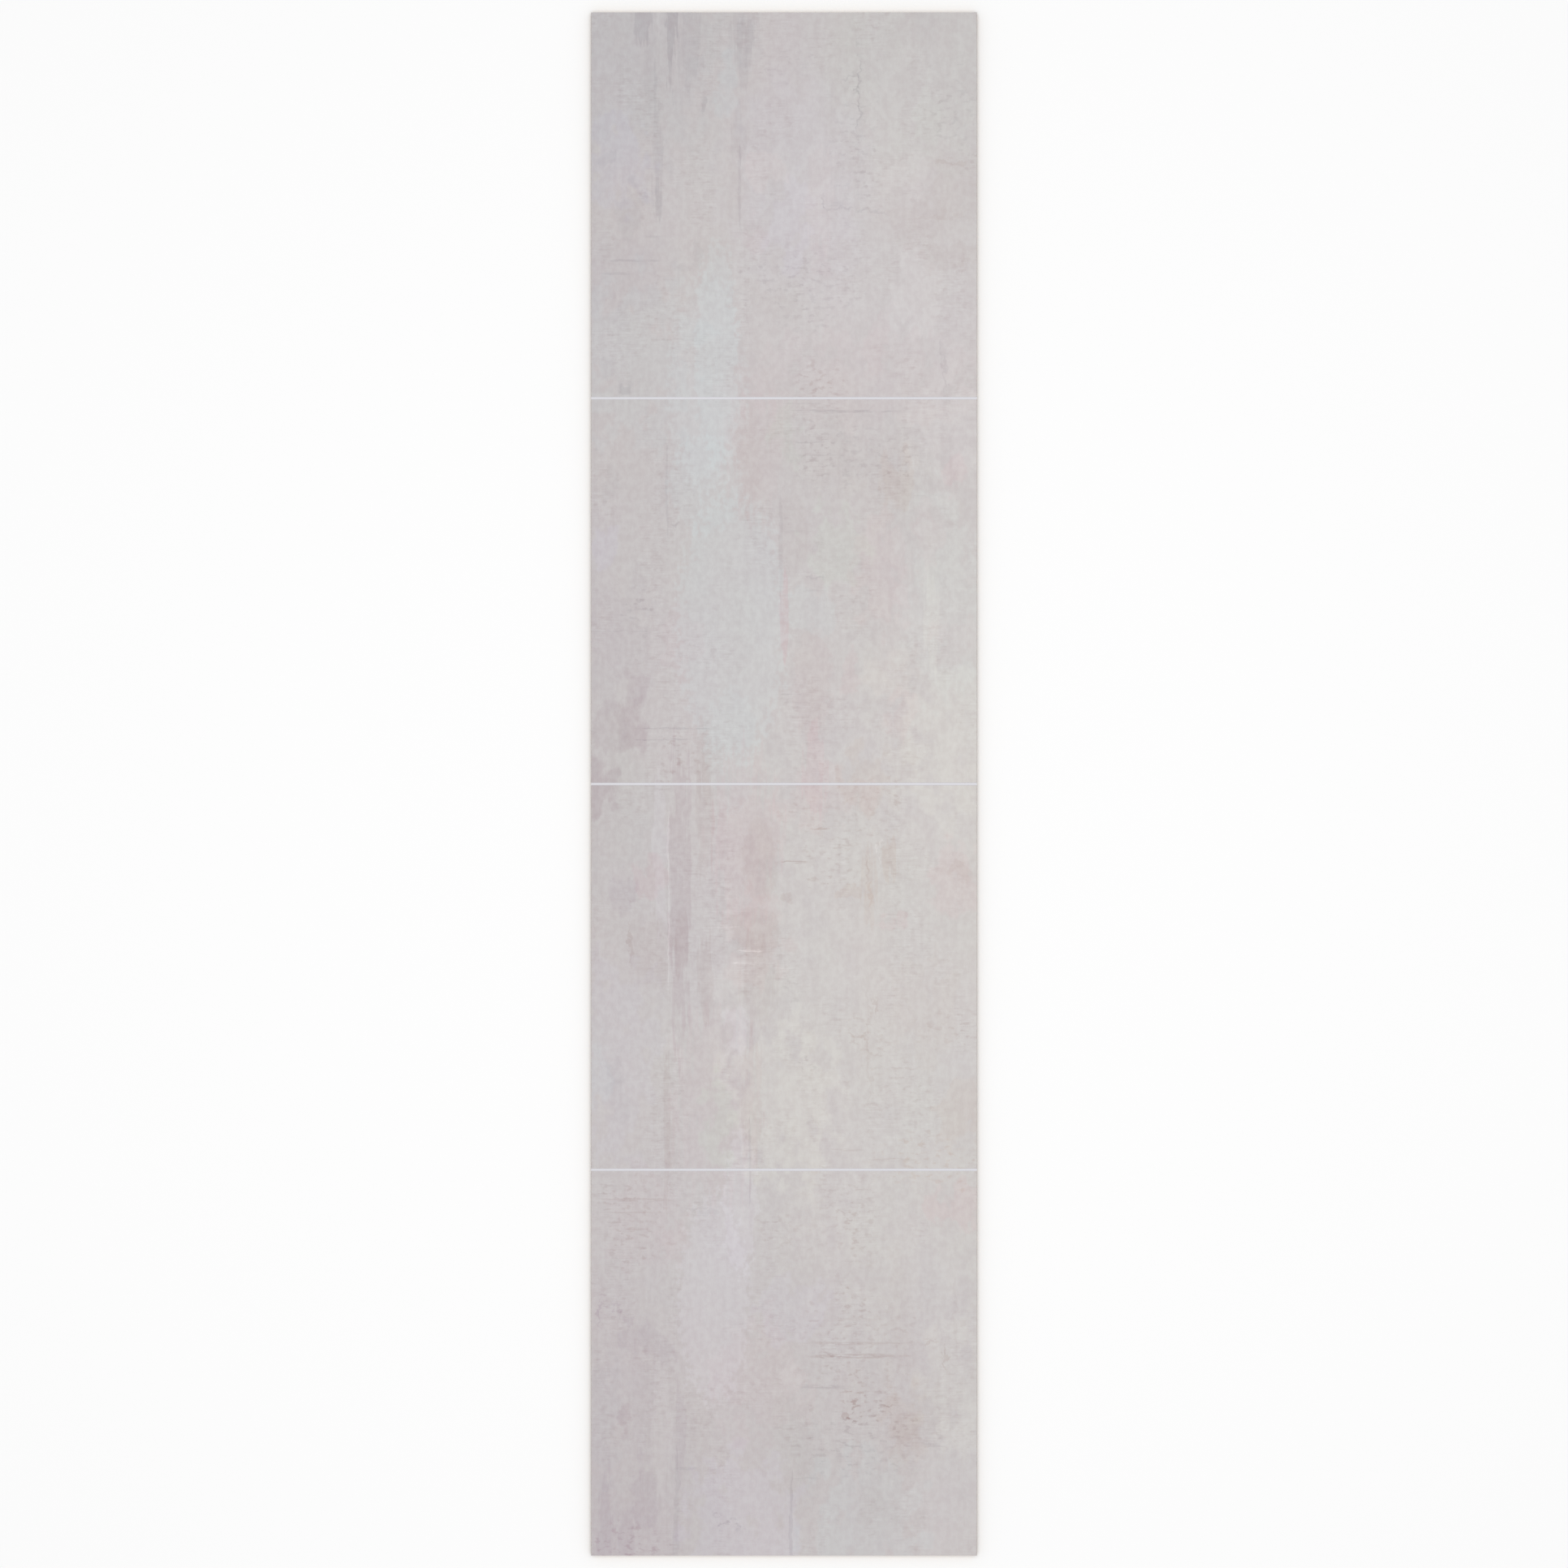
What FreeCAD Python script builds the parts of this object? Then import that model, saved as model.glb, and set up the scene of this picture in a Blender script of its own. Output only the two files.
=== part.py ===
import FreeCAD, Part
import os

import Sketcher

# Bathroom wall panel: one rigid board with four square tiles marked on its face.
# It lies on its back. X runs across the board, Y along it and Z up out of the face.
# The origin is the middle of the back. Each long edge has a slot along it, and a loose
# spline in two facing slots joins the board to the next one on a wall.

# Driving sizes in millimetres
SIZES = {
    "panel_length": "2400",
    "cover_width": "600",
    "board_thickness": "11",
    "tile_pitch": "600",
    "tile_groove_width": "4",
    "tile_groove_floor_width": "2.4",
    "tile_groove_depth": "0.8",
    "spline_thickness": "4",
    "spline_play": "0.15",
    "slot_depth": "6",
    "slot_lead_in": "0.5",
    "back_relief": "0.5",
    "face_arris": "0.3",
}

# Places on the section that several features share, as expressions on the sheet
EDGE = "sizes.cover_width / 2"
SLOT_HEIGHT = "(sizes.spline_thickness + 2 * sizes.spline_play)"
SLOT_BACK = f"(sizes.board_thickness - {SLOT_HEIGHT}) / 2"

ORIGIN_POINT = (-1, 1)
ACROSS_AXIS = -1
SAME_PLACE = 1e-6


def make_sheet(document):
    """Sheet of driving sizes, one row each, with the size's name as its alias."""
    sheet = document.addObject("Spreadsheet::Sheet", "sizes")
    for row, (name, number) in enumerate(SIZES.items(), start=1):
        sheet.set(f"A{row}", name)
        sheet.set(f"B{row}", number)
        sheet.setAlias(f"B{row}", name)
    document.recompute()
    return sheet


def origin_feature(body, role):
    """Plane or axis of the body's own origin with the given role."""
    return next(item for item in body.Origin.OriginFeatures if item.Role == role)


def new_sketch(body, name, plane_role):
    """Empty sketch on one of the body's own origin planes."""
    sketch = body.newObject("Sketcher::SketchObject", name)
    sketch.AttachmentSupport = [(origin_feature(body, plane_role), "")]
    sketch.MapMode = "FlatFace"
    return sketch


def add_dimension(sketch, kind, first, second, name, expression):
    """Named distance between two points of the sketch, bound to an expression."""
    value = sketch.evalExpression(expression)
    number = sketch.addConstraint(Sketcher.Constraint(kind, *first, *second, value))
    sketch.renameConstraint(number, name)
    sketch.setExpression(f"Constraints.{name}", expression)


def place_from_origin(sketch, kind, point, name, expression):
    """Signed distance of a point from the sketch's origin, written as a positive dimension."""
    value = sketch.evalExpression(expression)
    if abs(value) < SAME_PLACE:
        sketch.addConstraint(Sketcher.Constraint("PointOnObject", *point, ACROSS_AXIS))
    elif value < 0:
        add_dimension(sketch, kind, point, ORIGIN_POINT, name, f"-({expression})")
    else:
        add_dimension(sketch, kind, ORIGIN_POINT, point, name, expression)


def add_loop(sketch, corners):
    """Closed loop of straight lines through the corners, joined end to end."""
    points = [FreeCAD.Vector(across, up, 0) for across, up in corners]
    for here, there in zip(points, points[1:] + points[:1]):
        sketch.addGeometry(Part.LineSegment(here, there), False)
    for line in range(len(points)):
        following = (line + 1) % len(points)
        sketch.addConstraint(Sketcher.Constraint("Coincident", line, 2, following, 1))


def draw_rectangle(sketch, left, low, width, height):
    """Rectangle from its lower left corner, its width and its height, all as expressions."""
    start_across, start_up, size_across, size_up = (
        sketch.evalExpression(text) for text in (left, low, width, height)
    )
    end_across = start_across + size_across
    end_up = start_up + size_up
    add_loop(
        sketch,
        [
            (start_across, start_up),
            (end_across, start_up),
            (end_across, end_up),
            (start_across, end_up),
        ],
    )
    for line, direction in enumerate(("Horizontal", "Vertical", "Horizontal", "Vertical")):
        sketch.addConstraint(Sketcher.Constraint(direction, line))
    add_dimension(sketch, "DistanceX", (0, 1), (0, 2), "width", width)
    add_dimension(sketch, "DistanceY", (1, 1), (1, 2), "height", height)
    place_from_origin(sketch, "DistanceX", (0, 1), "left", left)
    place_from_origin(sketch, "DistanceY", (0, 1), "low", low)


def draw_trapezoid(sketch, centre, top, top_width, floor_width, depth):
    """Even-sided groove section hanging from its top line, all sizes as expressions."""
    middle, high, wide, narrow, deep = (
        sketch.evalExpression(text) for text in (centre, top, top_width, floor_width, depth)
    )
    add_loop(
        sketch,
        [
            (middle - narrow / 2, high - deep),
            (middle + narrow / 2, high - deep),
            (middle + wide / 2, high),
            (middle - wide / 2, high),
        ],
    )
    for flat_line in (0, 2):
        sketch.addConstraint(Sketcher.Constraint("Horizontal", flat_line))
    sketch.addConstraint(Sketcher.Constraint("Equal", 1, 3))
    add_dimension(sketch, "DistanceX", (0, 1), (0, 2), "floor_width", floor_width)
    add_dimension(sketch, "DistanceX", (2, 2), (2, 1), "top_width", top_width)
    add_dimension(sketch, "DistanceY", (1, 1), (1, 2), "depth", depth)
    floor_start = f"({centre}) - {floor_width} / 2"
    place_from_origin(sketch, "DistanceX", (0, 1), "floor_start", floor_start)
    place_from_origin(sketch, "DistanceY", (2, 1), "top", top)


def pad_along_board(body, sketch, name):
    """Pad of a section over the whole length, half to each side of the middle."""
    sketch.Visibility = False
    pad = body.newObject("PartDesign::Pad", name)
    pad.Profile = sketch
    pad.SideType = "Symmetric"
    pad.setExpression("Length", "sizes.panel_length")
    body.Document.recompute()
    return pad


def pocket_right_through(body, sketch, name):
    """Pocket of a section through everything on both sides of its plane."""
    before = body.Shape.Volume
    pocket = body.newObject("PartDesign::Pocket", name)
    pocket.Profile = sketch
    pocket.SideType = "Symmetric"
    pocket.Type = "ThroughAll"
    body.Document.recompute()
    if pocket.Shape.Volume >= before:
        raise RuntimeError(f"{name} cut nothing")
    return pocket


def edges_along_board(shape, spots):
    """Names of the straight edges along Y that pass through the given (x, z) spots."""
    names = []
    for number, edge in enumerate(shape.Edges, start=1):
        start, end = edge.firstVertex().Point, edge.lastVertex().Point
        along = abs(start.x - end.x) < SAME_PLACE and abs(start.z - end.z) < SAME_PLACE
        if along and any(abs(start.x - x) + abs(start.z - z) < SAME_PLACE for x, z in spots):
            names.append(f"Edge{number}")
    if len(names) != len(spots):
        raise RuntimeError(f"{len(names)} edges found for {len(spots)} spots")
    return names


def dress_edges(body, kind, name, spots, size_property, expression):
    """Chamfer or fillet on the edges of the section that stand at the given spots."""
    base = body.Tip
    feature = body.newObject(kind, name)
    feature.Base = (base, edges_along_board(base.Shape, spots))
    feature.setExpression(size_property, expression)
    body.Document.recompute()
    return feature


def make_board(body):
    """Plain rectangular board with its two long face edges eased."""
    section = new_sketch(body, "board_section", "XZ_Plane")
    draw_rectangle(section, f"-{EDGE}", "0", "sizes.cover_width", "sizes.board_thickness")
    board = pad_along_board(body, section, "board")
    edge = board.evalExpression(EDGE)
    face = board.evalExpression("sizes.board_thickness")
    dress_edges(
        body,
        "PartDesign::Chamfer",
        "face_arris",
        [(-edge, face), (edge, face)],
        "Size",
        "sizes.face_arris",
    )


def make_edge_slot(body, side, slot_start, relief_start):
    """Spline slot along one long edge.

    The slot is in the middle of the thickness. The lip behind it stops short of the lip in
    front, so that the seam closes on the face first, and both lips are eased at the mouth
    to lead the spline in. The two starts are the lower x of the slot and of the relief.
    """
    slot_section = new_sketch(body, f"{side}_slot_section", "XZ_Plane")
    draw_rectangle(slot_section, slot_start, SLOT_BACK, "sizes.slot_depth", SLOT_HEIGHT)
    pocket_right_through(body, slot_section, f"{side}_slot")
    relief_section = new_sketch(body, f"{side}_relief_section", "XZ_Plane")
    draw_rectangle(relief_section, relief_start, "0", "sizes.back_relief", SLOT_BACK)
    relief = pocket_right_through(body, relief_section, f"{side}_relief")
    outward = 1 if relief.evalExpression(slot_start) > 0 else -1
    edge = outward * relief.evalExpression(EDGE)
    relieved_edge = outward * relief.evalExpression(f"{EDGE} - sizes.back_relief")
    back = relief.evalExpression(SLOT_BACK)
    face = relief.evalExpression(f"{SLOT_BACK} + {SLOT_HEIGHT}")
    dress_edges(
        body,
        "PartDesign::Chamfer",
        f"{side}_lead_in",
        [(relieved_edge, back), (edge, face)],
        "Size",
        "sizes.slot_lead_in",
    )


def make_tile_grooves(body):
    """Grooves across the face, one at each tile pitch from the -Y end."""
    section = new_sketch(body, "tile_groove_section", "YZ_Plane")
    draw_trapezoid(
        section,
        "sizes.tile_pitch - sizes.panel_length / 2",
        "sizes.board_thickness",
        "sizes.tile_groove_width",
        "sizes.tile_groove_floor_width",
        "sizes.tile_groove_depth",
    )
    before = body.Shape.Volume
    first_groove = pocket_right_through(body, section, "first_tile_groove")
    one_groove = before - first_groove.Shape.Volume
    pattern = body.newObject("PartDesign::LinearPattern", "tile_grooves")
    pattern.Originals = [first_groove]
    pattern.Direction = (origin_feature(body, "Y_Axis"), [""])
    pattern.Mode = "Spacing"
    pattern.setExpression("Offset", "sizes.tile_pitch")
    # A groove at every pitch that still leaves its full width on the board
    pattern.setExpression(
        "Occurrences",
        "floor((sizes.panel_length - sizes.tile_groove_width) / sizes.tile_pitch)",
    )
    body.Tip = pattern
    body.Document.recompute()
    removed = before - pattern.Shape.Volume
    if abs(removed - pattern.Occurrences * one_groove) > one_groove / 2:
        raise RuntimeError("the tile grooves didn't all cut the face")


def make_wall_panel(document):
    """The whole board as one body."""
    body = document.addObject("PartDesign::Body", "wall_panel")
    body.Label = "wall_panel"
    body.Placement = FreeCAD.Placement()
    document.recompute()
    make_board(body)
    make_edge_slot(body, "left", f"-{EDGE}", f"-{EDGE}")
    make_edge_slot(body, "right", f"{EDGE} - sizes.slot_depth", f"{EDGE} - sizes.back_relief")
    make_tile_grooves(body)
    return body


def check(document, bodies):
    """Stops on a failed feature or a body that isn't one valid solid."""
    for item in document.Objects:
        if "Invalid" in item.State or "Error" in item.State:
            raise RuntimeError(f"{item.Label} failed: {item.State}")
    for body in bodies:
        shape = body.Shape
        if shape.isNull() or not shape.isValid() or len(shape.Solids) != 1:
            raise RuntimeError(f"{body.Label} isn't one valid solid")


def main():
    document = FreeCAD.newDocument("bathroom_wall_panel")
    make_sheet(document)
    bodies = [make_wall_panel(document)]
    document.recompute()
    check(document, bodies)
    os.makedirs("parts", exist_ok=True)
    for body in bodies:
        body.Shape.exportStep(os.path.join("parts", f"{body.Label}.step"))
        box = body.Shape.BoundBox
        print(body.Label, box, f"volume {body.Shape.Volume:.1f}")


main()
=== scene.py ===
"""Dresses the bathroom wall panel: printed laminate face, lacquered tile grooves and raw ply edges.

The board lies on its back, face up, with its top end towards +Y. Places on the printed face
are given tile by tile, in millimetres across from the left edge and down from the tile's top
edge, because that is how the print is seen.
"""

import logging
from dataclasses import dataclass, field
from enum import Enum
from typing import Union

import bpy
import numpy as np
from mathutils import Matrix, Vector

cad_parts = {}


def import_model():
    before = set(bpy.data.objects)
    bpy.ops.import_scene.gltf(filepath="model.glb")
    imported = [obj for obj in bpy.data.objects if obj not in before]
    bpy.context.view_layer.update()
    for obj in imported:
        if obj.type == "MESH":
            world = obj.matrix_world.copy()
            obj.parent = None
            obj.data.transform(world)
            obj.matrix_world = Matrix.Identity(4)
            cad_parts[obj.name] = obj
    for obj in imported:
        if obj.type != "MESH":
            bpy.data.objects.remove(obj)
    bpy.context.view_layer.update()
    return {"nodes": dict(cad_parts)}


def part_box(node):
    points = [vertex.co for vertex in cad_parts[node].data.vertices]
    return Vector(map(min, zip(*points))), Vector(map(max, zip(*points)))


Socket = bpy.types.NodeSocket
Number3 = tuple[float, float, float]
Feed = Union[Socket, float, Number3]
Span = tuple[float, float]

LOG = logging.getLogger("wall_panel")

NODE_NAME = "wall_panel"
SLOT_NAME = "laminated_board"
MM = 0.001
PER_MM = 1000.0

# Tone of the bare print in 8-bit display levels, before its texture and its marks
BASE_LEVELS: Number3 = (202.9, 198.1, 197.8)

# The display's curve: a straight toe, then a power
DISPLAY_TOP = 255.0
TOE_END = 0.04045
TOE_SLOPE = 12.92
CURVE_SHIFT = 0.055
CURVE_POWER = 2.4

# What the studio makes of a base colour: the light's gain, and what the surface's shine adds
LIGHT_GAIN = 1.10
SHEEN_LIFT = 0.035

# Middle level of a noise, and how its offset is shared out among the axes
NOISE_MIDDLE = 0.5
OFFSET_SHARES: Number3 = (1.0, 1.7, 0.6)

# Places nearer to each other than this count as the same, in mm
HAIR = 0.01


def display_to_linear(level: float) -> float:
    """Turns an 8-bit display level into scene light.

    Args:
        level: the level, from 0 to 255.

    Returns:
        The linear value, from 0 to 1, by the display's curve.
    """
    share = level / DISPLAY_TOP
    if share <= TOE_END:
        return share / TOE_SLOPE
    return ((share + CURVE_SHIFT) / (1 + CURVE_SHIFT)) ** CURVE_POWER


def paint(levels: Number3) -> Number3:
    """Base colour that shows as the given display levels under this studio's light."""
    return tuple(max(0.0, (display_to_linear(v) - SHEEN_LIFT) / LIGHT_GAIN) for v in levels)


def level_step() -> float:
    """Linear change of base colour that moves the middle tone by one display level."""
    middle = sum(BASE_LEVELS) / 3
    return (display_to_linear(middle + 1) - display_to_linear(middle - 1)) / 2 / LIGHT_GAIN


class Tone(Enum):
    """Tints of the print, each the change of red, green and blue at a strength of one level."""

    SMOKE = (-1.0, -1.0, -0.9)
    SLATE = (-1.0, -0.8, -0.6)
    MAROON = (-0.7, -1.0, -0.85)
    PLUM = (-0.8, -1.0, -0.75)
    RUST = (-0.4, -0.8, -1.0)
    UMBER = (-0.7, -0.95, -1.0)
    ROSE = (0.1, -0.9, -0.7)
    PEACH = (1.0, 0.4, 0.2)
    MIST = (0.0, 0.85, 1.0)
    LILAC = (0.1, 0.1, 1.0)
    MOSS = (-0.2, 1.0, 0.1)
    STRAW = (0.9, 1.0, 0.65)
    CHALK = (1.0, 1.0, 1.0)


class Habit(Enum):
    """How a mark lies on the print."""

    WASH = "wide, even cast that fades out slowly"
    BLOTCH = "cloudy patch with a ragged rim"
    PATCH = "even patch with a clean rim"
    STREAK = "drawn along the board, with clean sides and feathered ends"
    SCRATCH = "thin line broken into dashes"
    SPECKLE = "cluster of small specks"
    VEIN = "thin crack that wanders"


@dataclass(frozen=True)
class Brush:
    """How one habit is painted.

    Attributes:
        point: name of the field whose warped places the mark is laid out in.
        grain: name of the field that eats into the mark's rim.
        ragged: how far the grain moves the rim, as a share of the mark's half size, squared.
        soft: width of the rim, in the same measure.
        broken: name of the field that breaks the mark up, or an empty name.
    """

    point: str
    grain: str
    ragged: float
    soft: float
    broken: str = ""


@dataclass(frozen=True)
class Mark:
    """One mark laid on the printed face: mostly the print's own, one of them painted shade.

    Attributes:
        tone: its tint.
        strength: how far it moves the tone, in display levels.
        left: where it starts across the board, from the board's left edge, in mm.
        right: where it ends across the board.
        top: where it starts down the tile, from the tile's top edge, in mm.
        bottom: where it ends down the tile.
        habit: how it lies.
    """

    tone: Tone
    strength: float
    left: float
    right: float
    top: float
    bottom: float
    habit: Habit = Habit.BLOTCH


def lay_out(*rows: tuple) -> tuple[Mark, ...]:
    """Marks from rows of tone, strength, left, right, top, bottom and, unless a blotch, habit."""
    return tuple(Mark(*row) for row in rows)


# The tones and habits by their own names, so that each mark below takes one short row
SMOKE, SLATE, MAROON, PLUM, RUST, UMBER, ROSE, PEACH, MIST, LILAC, MOSS, STRAW, CHALK = Tone
WASH, BLOTCH, PATCH, STREAK, SCRATCH, SPECKLE, VEIN = Habit

BRUSHES: dict[Habit, Brush] = {
    WASH: Brush("drifting", "cloudy", 2.0, 1.9),
    BLOTCH: Brush("drifting", "cloudy", 5.0, 0.8),
    PATCH: Brush("wandering", "mottle", 1.4, 0.4),
    STREAK: Brush("drawn", "drag", 3.6, 0.6),
    SCRATCH: Brush("steady", "mottle", 3.0, 1.4, "dashes"),
    SPECKLE: Brush("drifting", "cloudy", 4.0, 1.6, "specks"),
    VEIN: Brush("wandering", "mottle", 3.5, 1.4),
}

FIRST_TILE = lay_out(
    (SLATE, 8, -190, 205, -190, 235, WASH),
    (SMOKE, 3.5, -150, 135, 120, 1330, WASH),
    (CHALK, 4.5, 270, 760, 110, 680, WASH),
    (LILAC, 2.5, 215, 420, 120, 420, WASH),
    (SMOKE, 9, 68, 97, -40, 52, STREAK),
    (SMOKE, 3, 82, 101, 30, 140, STREAK),
    (CHALK, 4, 103, 107, -10, 60, STREAK),
    (SMOKE, 12, 115, 132, -90, 118, STREAK),
    (SMOKE, 5, 137, 171, -60, 122, STREAK),
    (SMOKE, 5, 212, 262, -40, 64, STREAK),
    (SMOKE, 6, 226, 250, 10, 116, STREAK),
    (MIST, 3, 194, 226, 68, 160),
    (SMOKE, 5, 95, 112, 120, 318, STREAK),
    (SMOKE, 6, 99, 109, 262, 322, STREAK),
    (CHALK, 2, -20, 74, 85, 245),
    (LILAC, 3, -10, 90, 162, 300),
    (SMOKE, 5, 10, 34, 214, 242),
    (SMOKE, 5, 40, 82, 258, 356),
    (SMOKE, 5, 219, 243, 145, 238, STREAK),
    (SMOKE, 7, 228, 233, 222, 350, STREAK),
    (PLUM, 2.5, -10, 112, 350, 475),
    (SMOKE, 9, 14, 108, 384, 388, SCRATCH),
    (SMOKE, 7, 14, 66, 404, 408, SCRATCH),
    (SMOKE, 7, 82, 108, 347, 351, SCRATCH),
    (SMOKE, 6, 158, 174, 360, 398, VEIN),
    (SMOKE, 3.5, 128, 168, 396, 404, VEIN),
    (MIST, 3.5, 162, 230, 362, 700, PATCH),
    (MIST, 2.5, 122, 240, 410, 740, PATCH),
    (CHALK, 1.5, 126, 236, 430, 740, PATCH),
    (MIST, 2.5, -20, 165, 420, 660),
    (PEACH, 3, 246, 304, 216, 274),
    (PEACH, 2, 336, 378, 208, 366, STREAK),
    (ROSE, 1.5, 338, 374, 346, 420),
    (LILAC, 2, 274, 342, 260, 396),
    (SMOKE, 3.5, 413, 420, 50, 305, VEIN),
    (SMOKE, 11, 412, 416, 62, 192, VEIN),
    (SMOKE, 8, 392, 424, 100, 104, VEIN),
    (SMOKE, 7, 398, 430, 142, 146, VEIN),
    (SMOKE, 9, 361, 365, 288, 312, VEIN),
    (SMOKE, 9, 364, 412, 306, 310, VEIN),
    (SMOKE, 8, 420, 462, 309, 314, VEIN),
    (UMBER, 9, 531, 582, 228, 234, VEIN),
    (UMBER, 5, 498, 596, 316, 322, VEIN),
    (UMBER, 5, 574, 580, 366, 412, VEIN),
    (SMOKE, 6, 372, 446, 80, 310, SPECKLE),
    (MOSS, 1.5, 400, 640, -40, 235, WASH),
    (MOSS, 1, 500, 545, 112, 222),
    (SMOKE, 2, 495, 550, -20, 68),
    (SMOKE, 7, 525, 615, 80, 225, SPECKLE),
    (UMBER, 2, 525, 615, 146, 184),
    (UMBER, 4, 520, 630, 208, 332),
    (UMBER, 4, 450, 550, 294, 362),
    (UMBER, 5, 524, 615, 356, 400),
    (CHALK, 2.5, 454, 536, 220, 296),
    (CHALK, 3.5, 462, 545, 382, 498),
    (SMOKE, 1.5, 256, 336, 360, 486),
    (UMBER, 2.5, 296, 416, 404, 424, STREAK),
    (SMOKE, 7, 240, 410, 360, 490, SPECKLE),
    (SMOKE, 6, 362, 398, 295, 302, SCRATCH),
    (ROSE, 2, 232, 278, 320, 376),
    (ROSE, 1.5, 230, 620, 500, 640),
    (UMBER, 10, 310, 400, 535, 600, SPECKLE),
    (UMBER, 3, 212, 248, 548, 584),
    (SMOKE, 9, 168, 182, 135, 153),
    (SMOKE, 9, 36, 66, 569, 582),
    (SMOKE, 3, 10, 32, 542, 575),
    (SMOKE, 8, 546, 551, 510, 585, VEIN),
    (ROSE, 2, 428, 464, 444, 566),
    # Darker strip down the board's left edge through the first three tiles: painted edge shade, not
    # a mark of the print
    (SMOKE, 2.5, -14, 10, -10, 1800, STREAK),
    (SMOKE, 5, 262, 352, 52, 118, SPECKLE),
)

SECOND_TILE = lay_out(
    (STRAW, 3.5, 255, 820, 150, 1480, WASH),
    (STRAW, 3.5, 455, 760, 120, 700, WASH),
    (LILAC, 3.5, 0, 46, 190, 274),
    (SMOKE, 6, 116, 120, 70, 202, STREAK),
    (PLUM, 1.5, 110, 134, 94, 206, STREAK),
    (SMOKE, 9, 118, 141, 195, 200, VEIN),
    (SMOKE, 1.5, 114, 118, -10, 90, STREAK),
    (SMOKE, 4, 24, 44, 106, 154),
    (MIST, 1, 122, 206, -60, 145, STREAK),
    (MIST, 3, 122, 236, 60, 210, PATCH),
    (MIST, 4, 136, 302, 150, 560, PATCH),
    (MIST, 2, 180, 256, 450, 640, PATCH),
    (ROSE, 2, 207, 300, -10, 180, STREAK),
    (UMBER, 2.5, 224, 264, 30, 182, STREAK),
    (MOSS, 2, 284, 322, 12, 98),
    (UMBER, 2, 290, 510, -30, 145),
    (SMOKE, 13, 300, 476, 18, 22, SCRATCH),
    (SMOKE, 6, 304, 374, 7, 10, SCRATCH),
    (SMOKE, 8, 302, 368, 67, 70, SCRATCH),
    (SMOKE, 4.5, 314, 388, 87, 90, SCRATCH),
    (SMOKE, 3, 374, 400, 58, 118),
    (SMOKE, 1.5, 386, 420, 86, 118),
    (SMOKE, 7, 320, 500, 40, 140, SPECKLE),
    (RUST, 6, 450, 495, 86, 176),
    (UMBER, 1.5, 434, 506, 50, 170),
    (CHALK, 2, 490, 620, -30, 100),
    (ROSE, 4.5, 546, 582, 82, 144),
    (MIST, 2, 480, 620, 150, 450),
    (SMOKE, 5, 292, 298, 160, 320, STREAK),
    (ROSE, 7, 294, 308, 284, 404, STREAK),
    (UMBER, 4, 290, 334, 148, 272, PATCH),
    (SMOKE, 3.5, 296, 338, 205, 209, SCRATCH),
    (MOSS, 2.5, 330, 426, 168, 280),
    (ROSE, 3, 416, 496, 182, 366),
    (SMOKE, 2, 380, 428, 228, 272),
    (ROSE, 3, 496, 549, 164, 246),
    (SMOKE, 3, 328, 374, 270, 273, SCRATCH),
    (SMOKE, 9, 336, 364, 277, 282, VEIN),
    (SMOKE, 4, 344, 349, 226, 244, VEIN),
    (SMOKE, 5, 324, 362, 298, 301, SCRATCH),
    (MIST, 3, 312, 382, 294, 366),
    (UMBER, 2.5, 316, 373, 352, 536, PATCH),
    (ROSE, 1.5, 316, 373, 352, 536, PATCH),
    (UMBER, 2, 327, 365, 448, 526),
    (ROSE, 4, 391, 417, 388, 472),
    (PEACH, 2, 432, 506, 398, 466),
    (ROSE, 3, 459, 505, 450, 528),
    (STRAW, 3, 490, 640, 432, 650),
    (STRAW, 4, 518, 541, 270, 426, STREAK),
    (ROSE, 2, 536, 604, 340, 404),
    (PLUM, 3.5, -20, 98, 290, 480),
    (MAROON, 5.5, 44, 86, 432, 552),
    (MAROON, 6, 4, 82, 470, 550),
    (MAROON, 10, -20, 42, 555, 640),
    (ROSE, 2, 108, 172, 328, 428),
    (SMOKE, 7, -4, 88, 361, 364, SCRATCH),
    (SMOKE, 11, 74, 184, 512, 515, SCRATCH),
    (SMOKE, 12, 74, 154, 529, 532, SCRATCH),
    (CHALK, 3, 80, 164, 520, 524, SCRATCH),
    (UMBER, 12, 98, 172, 526, 594, SPECKLE),
    (UMBER, 4, 164, 190, 498, 626, STREAK),
    (SMOKE, 9, 52, 92, 300, 368, SPECKLE),
    (SMOKE, 8, 291, 329, 459, 462, SCRATCH),
    (SMOKE, 3, 295, 327, 472, 475, SCRATCH),
    (ROSE, 5, 328, 366, 514, 650, STREAK),
    (RUST, 6, 392, 456, 545, 650),
    (RUST, 2, 454, 502, 508, 640),
    (SMOKE, 6, 500, 535, 150, 153, SCRATCH),
)

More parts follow.
